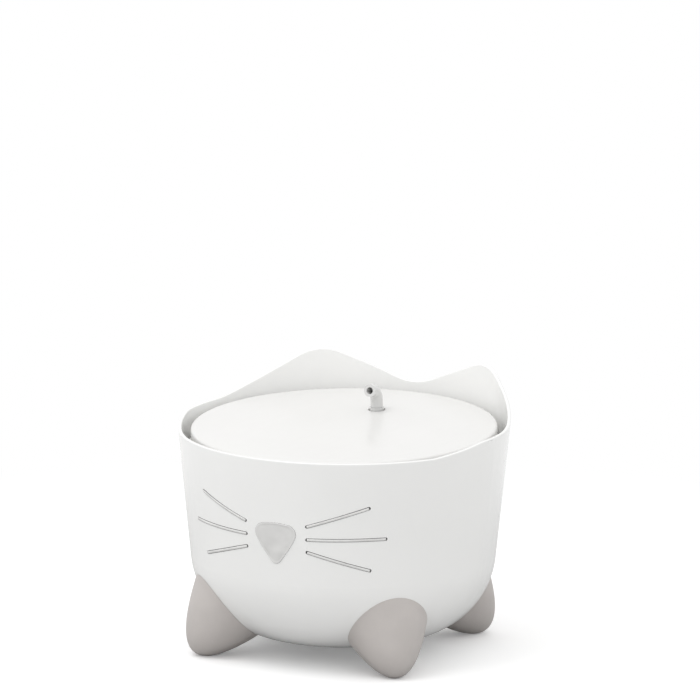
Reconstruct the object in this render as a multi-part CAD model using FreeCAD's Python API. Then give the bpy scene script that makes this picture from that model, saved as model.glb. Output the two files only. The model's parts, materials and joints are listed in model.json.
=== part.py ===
import FreeCAD, Part
import math
import os

os.makedirs("parts", exist_ok=True)

# A pet water fountain: a cat-faced bowl on four paws, and in it a pump, a riser tube,
# a filter tray, a lid and a spout, all stacked on one upright water line.
# Millimetres. The origin is on the floor under the middle of the bowl, the face looks
# along -Y, +X is on the right of someone facing it, and +Z is up.

past = 1.0                  # how far a cutting shape runs past what it cuts
spare = 30.0                # room round a shape that only trims others

# Bowl wall
base_height = 11.2          # underside of the bowl above the floor
base_radius = 48.0          # flat middle of the underside
shoulder_radius = 62.0      # round between the underside and the wall
wall_draft = 5.7            # degrees that the wall leans outwards
rim_radius = 120.0
rim_bend = 150.0            # bend that brings the wall upright below the rim
bowl_wall = 2.5
rim_round = 0.9
rim_side_length = 1.3 * bowl_wall   # shorter edges on the rim only cross it
touch = 0.001

# Rim line and ears, given at the corners before they are rounded
front_rim = 159.5
side_rim = 165.0
rim_dip_start = 18.0        # how far in front of the middle the rim starts to dip
rim_dip_end = 62.0
saddle_rim = 168.5
ear_tip = 197.0
ear_spread = 68.0
ear_foot_inset = 6.0        # from the rim's outside to where the ear's slope ends
ear_round = 25.0
saddle_round = 40.0
ear_foot_round = 9.0
rim_dip_round = 60.0

# Face windows
nose_width = 39.4
nose_top = 113.1
nose_bottom = 80.1
nose_bulge = 2.2
nose_corner = 7.0
nose_tip_round = 4.5
nose_side_round = 60.0
nose_top_round = 40.0
whisker_width = 2.4
whisker_inner_angle = 12.2  # degrees round the bowl from the middle of the face
whisker_rows = (            # height at the nose, height at the far end, angle at the far end
    (112.3, 126.5, 34.2),
    (102.6, 103.4, 40.6),
    (93.3, 80.4, 35.0),
)
window_proud = 0.5
window_fit = 0.05
window_flange = 2.0
window_flange_thickness = 1.4

# Paws
paw_azimuths = {"front_left": -46.0, "front_right": 46.0, "rear_right": 138.0, "rear_left": -138.0}
paw_reach = 2.3             # how far the tip of the paw's own axis stands outside the shoulder
paw_tip_height = 2.4
paw_lean = 51.0             # degrees that the paw's axis stands up from the floor
paw_spread = 22.8           # width squared over length of the paw's rounded cone
paw_length = 62.0
paw_seam = 0.12
paw_boss_inset = 22.0       # from the shoulder's outside to the boss in the paw
paw_boss_radius = 5.0
paw_boss_fit = 0.15
paw_boss_end = 17.0
paw_floor = 3.2             # plastic between the boss and the screw head
screw_radius = 1.5
screw_head_radius = 3.2
screw_head_height = 2.4
screw_grip = 9.0
screw_fit = 0.1
screw_recess_fit = 0.5
screw_socket = 1.4

# Posts inside the bowl that carry the tray
post_azimuths = (20.0, -20.0, 62.0, -62.0, 122.0, -122.0)   # degrees from the back
post_radius = 9.0
post_inset = 6.4            # middle of the post from the inside of the wall at the tray
post_round = 4.0
seat_gap = 0.25

# Filter tray
tray_top = 148.0
tray_gap = 5.5              # between the tray and the inside of the rim
tray_plate = 2.0
tray_skirt = 6.5
dish_radius = 98.0
dish_centre = -62.0
dish_flat = 50.0
dish_depth = 8.0
well_shelf = 1.5            # how far the filter's flange lies over each side of the well
well_back = -2.0
well_depth = 20.0
well_corner = 18.0
well_ledge = 6.0            # ring of floor left round the drain opening
lobe_radius = 14.0
lobe_reach = 8.0            # how far the two rear lobes go behind the well
niche_radius = 11.0
niche_reach = 16.0
finger_hole_radius = 12.2
finger_hole_azimuth = 58.8
finger_hole_offset = 78.3

# Water line: pump outlet, riser, tray socket, cap and spout share this axis
axis_y = 55.0
socket_wall = 1.85
socket_length = 41.5
socket_grip = 7.0           # how far the riser goes into the socket
socket_rib_length = 10.0
socket_rib_height = 14.0
socket_rib_thickness = 1.6
boss_radius = 20.5
boss_step = 1.3
neck_radius = 15.0
neck_wall = 2.8
neck_height = 6.3

# Outlet cap and the ring that lifts the tray
cap_radius = 19.6
cap_edge = 4.4
cap_dome = 1.6
cap_round = 1.4
cap_plug_length = 4.5
cap_plug_fit = 0.1
cap_bore_depth = 7.5
ring_radius = 11.2          # middle line of the lift ring
ring_wire = 1.6
ring_x = 34.0
ring_pivot_y = 52.0
ring_rest_gap = 0.5
ring_eye_gap = 0.4
ring_eye_wall = 1.4
ring_eye_width = 4.0

# Lid
lid_inset = 2.0             # lid's edge inside the tray's edge
lid_front = 9.0             # height of the lid's front edge
lid_back = 18.0
lid_wall = 2.0
lid_top = 3.2
lid_dish = 1.8
lid_dish_radius = 98.0
lid_edge_round = 1.8
lid_notch_angle = 25.0
lid_notch_lip = 3.4
lid_hole_radius = 6.35

# Spout
spout_plug_radius = 5.1
spout_plug_fit = 0.15
spout_plug_length = 10.5
spout_plug_taper = 0.35
spout_collar_gap = 0.8      # plug top above the lid
spout_tube_radius = 4.5
spout_bore = 3.2
spout_rise = 3.5
spout_bend = 10.0
spout_turn = 80.0
spout_reach = 4.0
spout_spigot_wall = 0.7
spout_spigot_length = 6.0
swivel_fit = 0.08
seal_section = 0.6
seal_height = 2.2           # middle of the seal above the plug's lower end

# Riser tube
riser_length = 45.0
riser_wall = 0.95
riser_grip = 10.3           # how far it goes over the pump's outlet
riser_fit = 0.12

# Filter cartridge
filter_side = 97.0
filter_corner = 18.0
flange_thickness = 0.8
filter_rib = 3.0            # gap between two pockets
filter_rim = 4.5            # flange outside the pockets
pocket_depth = 9.5
pocket_draft = 2.0
pocket_wall = 0.7
pocket_corner = 7.0
pocket_outer_corner = 14.0
filter_hole_radius = 8.4
filter_collar = 0.9
filter_collar_depth = 6.0
film_thickness = 0.4
film_margin = 1.6
fill_gap = 0.15
fit_in_seat = 0.5

# Pump, in its own frame: x away from the lamp face, y into the pump from its large face
pump_yaw = 43.0
pump_lift = 24.0            # pump floor above the floor the fountain stands on
pump_length = 50.0
pump_depth = 36.0
pump_height = 32.0
pump_outlet_in = 15.0       # outlet axis from the intake end
pump_outlet_front = 14.0    # outlet axis from the large face
pump_wall = 2.2
pump_corner = 3.0
pump_edge = 1.4
pump_base_plate = 2.5
pump_base_inset = 0.9
outlet_radius = 5.0
outlet_bore = 3.5
outlet_length = 22.0
rotor_y = 4.0
rotor_z = 15.5
chamber_radius = 11.0
chamber_rear = -5.0
chamber_front = 6.0
chamber_wall = 1.6
magnet_radius = 5.6
magnet_length = 14.0
magnet_gap = 0.5
shaft_radius = 1.0
shaft_fit = 0.05
bush_radius = 2.6
bush_length = 2.0
blade_count = 6
blade_radius = 9.6
blade_thickness = 1.1
blade_gap = 0.7             # between the blades and the chamber's ends
hub_radius = 3.0
intake_radius = 12.8
intake_disc = 3.0
intake_fit = 0.1
intake_slots = 7
intake_slot_width = 1.5
core_bar = 3.6
core_height = 6.0
coil_length = 12.0
coil_wall = 1.2
coil_gap = 0.3
core_gap = 1.5              # core's ends from the housing's wall and from the chamber

# Knob, lamp and lead on the pump
knob_y = -3.0
knob_z = 21.0
knob_neck_radius = 3.4
knob_neck_length = 7.0
knob_radius = 4.5
knob_disc = 3.4
knob_pin_radius = 1.8
knob_pin_length = 1.5
knob_notches = 10
lamp_y = 4.0
lamp_z = 7.6
lamp_radius = 2.4
lamp_proud = 2.4
lamp_ring_radius = 4.6
lamp_ring_proud = 0.8
lamp_seat = 1.2
clamp_y = 16.0
clamp_z = 24.7
clamp_size = 8.0
clamp_proud = 4.0
gland_y = 14.0
gland_z = 11.5
gland_radius = 2.3
gland_tip_radius = 1.4
gland_proud = 2.6
lead_radius = 0.6
lead_points = (             # route of the lead loop from the clamp round to the gland
    (-43.4, 16.2, 24.9),
    (-48.8, 17.6, 24.2),
    (-53.6, 19.6, 21.6),
    (-53.4, 19.8, 17.2),
    (-48.0, 17.6, 14.2),
    (-42.2, 14.6, 12.0),
)
power_gland_length = 16.0
power_gland_width = 6.0
power_gland_height = 3.0
power_gland_y = 11.0
power_gland_bore = 1.7
power_gland_hole = 8.0
power_gland_round = 2.4

# Cradle in the bowl that holds the pump
cradle_gap = 0.4
cradle_wall = 1.8
cradle_lip = 3.0
cradle_ledge = 4.0
cradle_corner = 11.0

tray_radius = rim_radius - bowl_wall - tray_gap
lid_radius = tray_radius - lid_inset
well_half = filter_side / 2 - well_shelf

V = FreeCAD.Vector
UP = V(0, 0, 1)
WATER = V(0, axis_y, 0)


# Small tools

def cylinder(radius, low, high, at=V(0, 0, 0)):
    """Upright cylinder between two heights."""
    return Part.makeCylinder(radius, high - low, at + UP * low)


def rod(radius, start, end):
    """Cylinder from one point to another."""
    along = end - start
    return Part.makeCylinder(radius, along.Length, start, along)


def block(low, high):
    """Box between two opposite corners."""
    size = high - low
    return Part.makeBox(size.x, size.y, size.z, low)


def rounded(points, radii):
    """Closed wire through flat points, with an arc of its own radius at each corner."""
    edges = []
    joints = []
    for index, (corner, radius) in enumerate(zip(points, radii)):
        back = (points[index - 1] - corner).normalize()
        ahead = (points[(index + 1) % len(points)] - corner).normalize()
        half = back.getAngle(ahead) / 2
        cut = radius / math.tan(half)
        middle = corner + (back + ahead).normalize() * (radius / math.sin(half) - radius)
        joints.append((corner + back * cut, middle, corner + ahead * cut))
    for index, (first, middle, last) in enumerate(joints):
        if (last - first).Length > 1e-6:
            edges.append(Part.Arc(first, middle, last).toShape())
        start = joints[(index + 1) % len(joints)][0]
        if (start - last).Length > 1e-6:
            edges.append(Part.makeLine(last, start))
    return Part.Wire(edges)


def slab(points, radii, depth):
    """Solid swept straight from a rounded outline."""
    return Part.Face(rounded(points, radii)).extrude(depth)


def rounded_box(low, high, radii):
    """Box with rounded upright edges; radii is one number or one for each corner."""
    corners = [V(low.x, low.y, low.z), V(high.x, low.y, low.z),
               V(high.x, high.y, low.z), V(low.x, high.y, low.z)]
    each = radii if isinstance(radii, (list, tuple)) else [radii] * 4
    return slab(corners, each, UP * (high.z - low.z))


def spun(points, centre=V(0, 0, 0)):
    """Solid turned about an upright axis from (radius, height) points; a triple is an arc's middle."""
    edges = []
    here = V(points[0][0], 0, points[0][1])
    middle = None
    for point in list(points[1:]) + [points[0]]:
        there = V(point[0], 0, point[1])
        if len(point) == 3:
            middle = there
            continue
        if middle:
            edges.append(Part.Arc(here, middle, there).toShape())
        elif (there - here).Length > 1e-6:
            edges.append(Part.makeLine(here, there))
        here, middle = there, None
    solid = Part.Face(Part.Wire(edges)).revolve(V(0, 0, 0), UP, 360)
    solid.translate(centre)
    return solid


def on_circle(centre, radius, degrees):
    """Point on a circle in the (radius, height) section."""
    angle = math.radians(degrees)
    return (centre[0] + radius * math.cos(angle), centre[1] + radius * math.sin(angle))


def turned(shape, degrees, centre=V(0, 0, 0), axis=UP):
    """Copy of a shape turned about an axis."""
    copy = shape.copy()
    copy.rotate(centre, axis, degrees)
    return copy


def facing(azimuth):
    """Level direction at an azimuth measured from the face, -Y, towards +X."""
    angle = math.radians(azimuth)
    return V(math.sin(angle), -math.cos(angle), 0)


def joined(shape, pieces):
    """Shape with each piece fused to it in turn."""
    for piece in pieces:
        shape = shape.fuse(piece)
    return shape


def carved(shape, pieces):
    """Shape with each piece cut from it in turn."""
    for piece in pieces:
        shape = shape.cut(piece)
    return shape


def outlined(shape, low, high):
    """Edges whose whole length lies between two heights."""
    return [edge for edge in shape.Edges if edge.BoundBox.ZMin > low and edge.BoundBox.ZMax < high]


def save(name, *solids):
    """Write a node's solids to its file and say what it holds."""
    pieces = [solid for shape in solids for solid in shape.Solids]
    shape = pieces[0] if len(pieces) == 1 else Part.makeCompound(pieces)
    volume = sum(piece.Volume for piece in pieces)
    good = all(piece.isValid() for piece in pieces)
    print(f"{name}: {len(pieces)} solid(s), {volume / 1000:.2f} cm3, valid {good}")
    shape.exportStep(f"parts/{name}.step")


# Bowl

def bowl_body(inset, top):
    """Full round body of the bowl with its face moved inwards by inset."""
    lean = math.radians(wall_draft)
    low = (base_radius, base_height + shoulder_radius)
    spare = rim_bend - shoulder_radius
    reach = rim_radius - rim_bend - base_radius + spare * math.cos(lean)
    high = (rim_radius - rim_bend, low[1] + spare * math.sin(lean) + reach / math.tan(lean))
    low_round = shoulder_radius - inset
    high_round = rim_bend - inset
    floor = base_height + inset
    return spun([
        (0, floor),
        (base_radius, floor),
        on_circle(low, low_round, -45 - wall_draft / 2) + ("arc",),
        on_circle(low, low_round, -wall_draft),
        on_circle(high, high_round, -wall_draft),
        on_circle(high, high_round, -wall_draft / 2) + ("arc",),
        on_circle(high, high_round, 0),
        (rim_radius - inset, top),
        (0, top),
    ])


def wall_radius(height):
    """Outer radius of the bowl's sloping wall at a height."""
    lean = math.radians(wall_draft)
    foot = on_circle((base_radius, base_height + shoulder_radius), shoulder_radius, -wall_draft)
    return foot[0] + (height - foot[1]) * math.tan(lean)


def rim_cut():
    """What is cut off above the rim: ears behind, a gentle dip in front."""
    sky = ear_tip + spare
    far = rim_radius + spare
    ear_foot = rim_radius - ear_foot_inset
    right = [(ear_spread, ear_tip, ear_round), (ear_foot, side_rim, ear_foot_round), (far, side_rim, 0)]
    left = [(-x, z, radius) for x, z, radius in reversed(right)]
    line = left + [(0, saddle_rim, saddle_round)] + right + [(far, sky, 0), (-far, sky, 0)]
    ears = slab([V(x, 0, z) for x, z, _ in line], [radius for _, _, radius in line], V(0, far, 0))
    dip = [(0, side_rim, 0), (-rim_dip_start, side_rim, rim_dip_round),
           (-rim_dip_end, front_rim, rim_dip_round), (-far, front_rim, 0), (-far, sky, 0), (0, sky, 0)]
    front = slab([V(-far, y, z) for y, z, _ in dip], [radius for _, _, radius in dip], V(2 * far, 0, 0))
    return ears.fuse(front)


def nose_outline(grow):
    """Nose as a solid straight through the wall, its outline grown on every side."""
    half = nose_width / 2 + grow
    top = nose_top + grow
    bottom = nose_bottom - grow * 1.6
    middle = (top + bottom) / 2
    side = half / 2 + nose_bulge
    outline = [(-half, top - nose_bulge), (0, top + nose_bulge / 2), (half, top - nose_bulge),
               (side, middle), (0, bottom), (-side, middle)]
    radii = [nose_corner, nose_top_round, nose_corner, nose_side_round, nose_tip_round, nose_side_round]
    start = -wall_radius(middle) - spare / 2
    return slab([V(x, start, z) for x, z in outline], radii, V(0, spare, 0))


def whisker_outline(side, row, grow):
    """One whisker as a straight slot pushed through the wall."""
    inner_height, outer_height, outer_angle = row
    first = facing(side * whisker_inner_angle) * wall_radius(inner_height) + UP * inner_height
    last = facing(side * outer_angle) * wall_radius(outer_height) + UP * outer_height
    out = facing(side * (whisker_inner_angle + outer_angle) / 2)
    last = last + out * (first - last).dot(out)
    along = (last - first).normalize()
    across = along.cross(out) * (whisker_width / 2 + grow)
    beyond = along * (whisker_width / 2 + grow)
    shift = out * (-spare / 2)
    edges = [
        Part.makeLine(first + across + shift, last + across + shift),
        Part.Arc(last + across + shift, last + beyond + shift, last - across + shift).toShape(),
        Part.makeLine(last - across + shift, first - across + shift),
        Part.Arc(first - across + shift, first - beyond + shift, first + across + shift).toShape(),
    ]
    return Part.Face(Part.Wire(edges)).extrude(out * spare)


def window(outline):
    """Clear insert: a plug through the wall and a flange against its inside."""
    plug = outline(0).common(bowl_body(-window_proud, ear_tip)).cut(bowl_body(bowl_wall, ear_tip))
    back = bowl_body(bowl_wall, ear_tip).cut(bowl_body(bowl_wall + window_flange_thickness, ear_tip))
    return plug.fuse(outline(window_flange).common(back))


def whiskers():
    """The six whisker outlines, each as a function of how far it grows."""
    return [lambda grow, side=side, row=row: whisker_outline(side, row, grow)
            for side in (-1, 1) for row in whisker_rows]


def paw_boss_at(azimuth):
    """Place of the boss that a paw is screwed to."""
    return facing(azimuth) * (base_radius + shoulder_radius - paw_boss_inset)


def posts():
    """Upright half-round posts with rounded tops that carry the tray's skirt."""
    top = tray_top - tray_skirt - seat_gap
    offset = wall_radius(tray_top) - bowl_wall - post_inset
    made = []
    for azimuth in post_azimuths:
        at = facing(180 - azimuth) * offset
        post = cylinder(post_radius, base_height, top, at)
        made.append(post.makeFillet(post_round, outlined(post, top - seat_gap, top + seat_gap)))
    return made


def cradle():
    """Four corner brackets that carry the pump and keep it from turning."""
    low = V(pump_outlet_in - pump_length, -pump_outlet_front, 0)
    high = V(pump_outlet_in, pump_depth - pump_outlet_front, 0)

    def frame(grow, foot, head):
        spread = V(grow, grow, 0)
        return block(low - spread + UP * foot, high + spread + UP * head)

    seat = pump_lift - seat_gap
    outer = cradle_gap + cradle_wall
    ring = frame(outer, 0, seat).cut(frame(-cradle_ledge, -past, seat + past))
    fence = frame(outer, 0, seat + cradle_lip).cut(frame(cradle_gap, -past, seat + cradle_lip + past))
    top = pump_lift + pump_height
    arms_x = block(V(low.x + cradle_corner, low.y - spare, -past),
                   V(high.x - cradle_corner, high.y + spare, top))
    arms_y = block(V(low.x - spare, low.y + cradle_corner, -past),
                   V(high.x + spare, high.y - cradle_corner, top))
    brackets = ring.fuse(fence).cut(arms_x).cut(arms_y)
    return turned(brackets, pump_yaw).translated(WATER)


def rim_edges(shell, sky):
    """Long edges of the bowl that lie on the surface its rim was cut with."""
    found = []
    for edge in shell.Edges:
        middle = edge.valueAt((edge.FirstParameter + edge.LastParameter) / 2)
        high = edge.BoundBox.ZMin > front_rim - rim_round
        if high and edge.Length > rim_side_length and sky.distToShape(Part.Vertex(middle))[0] < touch:
            found.append(edge)
    return found


def bowl():
    """Bowl with its ears, paw bosses, tray posts, pump cradle and window openings."""
    inside = bowl_body(bowl_wall, ear_tip + 2 * spare)
    shell = bowl_body(0, ear_tip + spare)
    bosses = [cylinder(paw_boss_radius, paw_boss_end, paw_boss_end + shoulder_radius / 2,
                       paw_boss_at(azimuth)) for azimuth in paw_azimuths.values()]
    sky = rim_cut()
    shell = shell.fuse(bosses).cut(inside).cut(sky)
    shell = shell.makeFillet(rim_round, rim_edges(shell, sky))
    carried = Part.makeCompound(posts() + cradle().Solids).common(bowl_body(bowl_wall / 2, ear_tip))
    shell = shell.fuse(carried.Solids)
    shell = shell.cut(nose_outline(window_fit)).cut([outline(window_fit) for outline in whiskers()])
    pilots = [cylinder(screw_radius + window_fit, paw_boss_end - past, paw_boss_end + screw_grip,
                       paw_boss_at(azimuth)) for azimuth in paw_azimuths.values()]
    return shell.cut(pilots)


# Paws

def paw(azimuth):
    """Rounded cone leaning in under the bowl, cut to its curve and flat where it stands."""
    width = math.sqrt(paw_spread * paw_length)
    curve = Part.BezierCurve()
    curve.setPoles([V(0, 0, 0), V(0, 0, width / 2), V(paw_length, 0, width)])
    section = Part.Wire([
        curve.toShape(),
        Part.makeLine(V(paw_length, 0, width), V(paw_length, 0, 0)),
        Part.makeLine(V(paw_length, 0, 0), V(0, 0, 0)),
    ])
    cone = Part.Face(section).revolve(V(0, 0, 0), V(1, 0, 0), 360)
    cone = turned(cone, 180 + paw_lean, axis=V(0, 1, 0))
    cone.translate(V(base_radius + shoulder_radius + paw_reach, 0, paw_tip_height))
    cone = turned(cone, azimuth - 90)
    cone = cone.cut(bowl_body(-paw_seam, ear_tip))
    cone = cone.common(cylinder(rim_radius + spare, 0, ear_tip))
    at = paw_boss_at(azimuth)
    seat = paw_boss_end - paw_floor
    socket = cylinder(paw_boss_radius + paw_boss_fit, paw_boss_end - seat_gap, ear_tip, at)
    hole = cylinder(screw_radius + screw_fit, 0, ear_tip, at)
    recess = cylinder(screw_head_radius + screw_recess_fit, -past, seat, at)
    return cone.cut(socket.fuse([hole, recess]))


def paw_screw(azimuth):
    """Screw that goes up through the paw into the bowl's boss."""
    at = paw_boss_at(azimuth)
    seat = paw_boss_end - paw_floor
    head = cylinder(screw_head_radius, seat - screw_head_height, seat, at)
    shank = cylinder(screw_radius, seat, paw_boss_end + screw_grip - past, at)
    corners = [at + V(screw_socket * math.cos(turn), screw_socket * math.sin(turn), seat - screw_head_height)
               for turn in (index * math.pi / 3 for index in range(6))]
    socket = slab(corners, [0] * 6, UP * (screw_head_height / 2))
    return head.fuse(shank).cut(socket)


# Filter tray

def dish(extra, top, limit):
    """The tray's shallow dish, its floor lowered by extra."""
    bend = ((dish_radius - dish_flat) ** 2 + dish_depth ** 2) / (2 * dish_depth)
    centre = (dish_flat, tray_top - dish_depth + bend)
    radius = bend + extra
    end = -math.degrees(math.asin((centre[1] - tray_top) / radius))
    lowest = -90
    floor = tray_top - dish_depth - extra
    edge = on_circle(centre, radius, end)
    bowl_shape = spun([
        (0, floor),
        (dish_flat, floor),
        on_circle(centre, radius, (end + lowest) / 2) + ("arc",),
        edge,
        (edge[0], top),
        (0, top),
    ], V(0, dish_centre, 0))
    return bowl_shape.common(cylinder(limit, floor - past, top + past))


def well(grow, low, high):
    """The filter well with its two rear lobes and the finger niche."""
    front = well_back - 2 * well_half
    main = rounded_box(V(-well_half - grow, front - grow, low), V(well_half + grow, well_back + grow, high),
                       well_corner + grow)
    lobe_y = well_back + lobe_reach - lobe_radius
    lobe_x = well_half - lobe_radius
    niche_y = well_back + niche_reach
    extras = [cylinder(lobe_radius + grow, low, high, V(side * lobe_x, lobe_y, 0)) for side in (-1, 1)]
    extras.append(cylinder(niche_radius + grow, low, high, V(0, niche_y, 0)))
    niche_x = niche_radius + grow
    extras.append(block(V(-niche_x, well_back - niche_radius, low), V(niche_x, niche_y, high)))
    return main.fuse(extras)


def filter_middle():
    """Centre of the filter cartridge and of its seat."""
    return V(0, well_back - well_half, 0)


def filter_seat(grow, low, high):
    """Square recess that the filter's flange lies in."""
    half = filter_side / 2 + fit_in_seat + grow
    spread = V(half, half, 0)
    middle = filter_middle()
    return rounded_box(middle - spread + UP * low, middle + spread + UP * high,
                       filter_corner + fit_in_seat + grow)


def ring_pivot():
    """Middle of the staple that the lift ring turns in."""
    return V(ring_x, ring_pivot_y, tray_top + ring_wire + ring_rest_gap)


def ring_eye():
    """Small staple on the tray that the lift ring turns in."""
    inner = ring_wire + ring_eye_gap
    outer = inner + ring_eye_wall
    pivot = ring_pivot()
    half = V(ring_eye_width / 2, 0, 0)

    def arch(radius, reach, foot):
        sides = V(0, radius, 0)
        leg = block(pivot - reach - sides - UP * foot, pivot + reach + sides)
        return rod(radius, pivot - reach, pivot + reach).fuse(leg)

    above = pivot.z - tray_top
    return arch(outer, half, above + tray_plate / 2).cut(arch(inner, half * 2, above))


def tray():
    """Round tray with dish, filter well, boss, riser socket and finger holes."""
    under = tray_top - tray_plate
    skirt_foot = tray_top - tray_skirt
    well_floor = tray_top - well_depth
    plate = cylinder(tray_radius, skirt_foot, tray_top)
    plate = plate.cut(cylinder(tray_radius - tray_plate, skirt_foot - past, under))
    limit = tray_radius - 2 * tray_plate
    ledge = tray_top - dish_depth
    body = joined(plate, [
        dish(tray_plate, tray_top, limit + tray_plate),
        well(tray_plate, well_floor - tray_plate, under),
        filter_seat(tray_plate, ledge - tray_plate, under),
        cylinder(boss_radius, under, tray_top + boss_step, WATER),
        cylinder(neck_radius, under, tray_top + neck_height, WATER),
        cylinder(riser_outer() + riser_fit + socket_wall, tray_top - socket_length, under, WATER),
        ring_eye(),
    ] + socket_ribs())
    drain = well_half - well_ledge
    middle = filter_middle()
    opening = rounded_box(middle + V(-drain, -drain, well_floor - 2 * tray_plate),
                          middle + V(drain, drain, well_floor + past), well_corner - well_ledge)
    bore = riser_outer() + riser_fit
    socket_foot = tray_top - socket_length
    holes = [cylinder(finger_hole_radius, well_floor, tray_top + past,
                      facing(180 - side * finger_hole_azimuth) * finger_hole_offset) for side in (-1, 1)]
    return carved(body, [
        dish(0, tray_top + past, limit),
        well(0, well_floor, tray_top + past),
        filter_seat(0, ledge, tray_top + past),
        opening,
        cylinder(neck_radius - neck_wall, tray_top, tray_top + neck_height + past, WATER),
        cylinder(outlet_bore, socket_foot, tray_top + past, WATER),
        cylinder(bore, socket_foot - past, socket_foot + socket_grip + seat_gap, WATER),
    ] + holes)


def riser_outer():
    return outlet_radius + riser_fit + riser_wall


def socket_ribs():
    """Gussets that stiffen the riser socket under the tray."""
    inner = riser_outer() + riser_fit + socket_wall / 2
    top = tray_top - tray_plate
    made = []
    for turn in (0, 90, 180):
        rib = slab([V(inner, -socket_rib_thickness / 2, top + tray_plate / 2),
                    V(inner + socket_rib_length, -socket_rib_thickness / 2, top + tray_plate / 2),
                    V(inner + socket_rib_length, -socket_rib_thickness / 2, top),
                    V(inner, -socket_rib_thickness / 2, top - socket_rib_height)],
                   [0, 0, 0, 0], V(0, socket_rib_thickness, 0))
        made.append(turned(rib, turn).translated(WATER))
    return made


def cap():
    """Domed cap pressed into the tray's neck, with the bore that takes the spout."""
    foot = tray_top + neck_height
    edge = foot + cap_edge
    plug = neck_radius - neck_wall - cap_plug_fit
    round_middle = on_circle((cap_radius - cap_round, edge - cap_round), cap_round, 45)
    crown = edge + cap_dome
    bore = spout_plug_radius + spout_plug_fit
    floor = crown - cap_bore_depth
    return spun([
        (outlet_bore, foot - cap_plug_length),
        (plug, foot - cap_plug_length),
        (plug, foot),
        (cap_radius, foot),
        (cap_radius, edge - cap_round),
        round_middle + ("arc",),
        (cap_radius - cap_round, edge),
        ((cap_radius + bore) / 2, (edge + crown) / 2 + cap_dome / 4, "arc"),
        (bore, crown),
        (bore, floor),
        (outlet_bore, floor),
    ], WATER)


def lift_ring():
    """Round ring that lies on the tray and turns up in its eye."""
    return Part.makeTorus(ring_radius, ring_wire, ring_pivot() + V(0, ring_radius, 0), UP)


# Lid

def lid_plane(height_in_front, thickness):
    """Everything under a plane that rises from the lid's front edge to its back."""
    far = lid_radius + spare
    rise = (lid_back - lid_front) / (2 * lid_radius)
    foot = tray_top + seat_gap
    level = foot + height_in_front - thickness
    near_z = level - (far - lid_radius) * rise
    far_z = level + (far + lid_radius) * rise
    low = foot - past
    corners = [V(-far, -far, low), V(-far, far, low), V(-far, far, far_z), V(-far, -far, near_z)]
    return slab(corners, [0, 0, 0, 0], V(2 * far, 0, 0))


def lid_height(y):
    """Height of the lid's upper plane over a place on its middle line."""
    return tray_top + seat_gap + lid_front + (lid_back - lid_front) * (y + lid_radius) / (2 * lid_radius)


def lid():
    """Wedge-shaped lid with a shallow dish, a drinking notch in front and the spout's hole."""
    foot = tray_top + seat_gap
    blank = cylinder(lid_radius, foot, foot + lid_back + spare).common(lid_plane(lid_front, 0))
    top_edge = [edge for edge in blank.Edges
                if edge.BoundBox.ZMin > foot + lid_front / 2 and edge.Length > math.pi * lid_radius]
    blank = blank.makeFillet(lid_edge_round, top_edge)
    hollow = cylinder(lid_radius - lid_wall, foot - past, foot + lid_back + spare)
    hollow = hollow.common(lid_plane(lid_front, lid_top))
    bend = (lid_dish_radius ** 2 + lid_dish ** 2) / (2 * lid_dish)
    tilt = math.degrees(math.atan((lid_back - lid_front) / (2 * lid_radius)))
    centre = V(0, 0, lid_height(0))
    lens = Part.makeSphere(bend, centre + UP * (bend - lid_dish), UP, -90, -80, 360)
    lens = turned(lens, tilt, centre, V(1, 0, 0))
    notch = cylinder(lid_radius + past, foot - past, foot + lid_front - lid_notch_lip)
    notch = notch.cut(cylinder(lid_radius - lid_wall - past, foot - 2 * past, foot + lid_back))
    far = (lid_radius + past) * 2
    below = UP * (foot - 2 * past)
    wedge = slab([below, facing(-lid_notch_angle) * far + below, facing(lid_notch_angle) * far + below],
                 [0, 0, 0], UP * (lid_back + spare))
    hole = cylinder(lid_hole_radius, foot, foot + lid_back + spare, WATER)
    return blank.cut([hollow, lens, notch.common(wedge), hole])


# Spout

def spout_levels():
    """Heights of the plug's top and bottom at rest."""
    top = lid_height(axis_y) + spout_collar_gap
    return top, top - spout_plug_length


def spout_plug():
    """Sleeve that plugs through the lid into the cap, with a groove for its seal."""
    top, foot = spout_levels()
    outer = spout_plug_radius
    groove = outer - 2 * seal_section + swivel_fit
    bore = spout_tube_radius - spout_spigot_wall + swivel_fit
    seat = top - spout_spigot_length - swivel_fit
    middle = foot + seal_height
    half = seal_section + swivel_fit
    return spun([
        (spout_bore, foot),
        (outer - spout_plug_taper, foot),
        (outer, foot + spout_plug_taper),
        (outer, middle - half),
        (groove, middle - half),
        (groove, middle + half),
        (outer, middle + half),
        (outer, top),
        (bore, top),
        (bore, seat),
        (spout_bore, seat),
    ], WATER)


def spout_seal():
    """Rubber ring in the plug's groove."""
    _, foot = spout_levels()
    middle_radius = spout_plug_radius - seal_section + swivel_fit
    return Part.makeTorus(middle_radius, seal_section, WATER + UP * (foot + seal_height), UP)


def spout_path(start, rise):
    """Middle line of the elbow: up, round towards the face and a short straight end."""
    top = start + UP * rise
    turn = math.radians(spout_turn)

    def along(angle):
        return top + V(0, -spout_bend * (1 - math.cos(angle)), spout_bend * math.sin(angle))

    end = along(turn)
    tip = end + V(0, -math.sin(turn), math.cos(turn)) * spout_reach
    return Part.Wire([
        Part.makeLine(start, top),
        Part.Arc(top, along(turn / 2), end).toShape(),
        Part.makeLine(end, tip),
    ])


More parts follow.
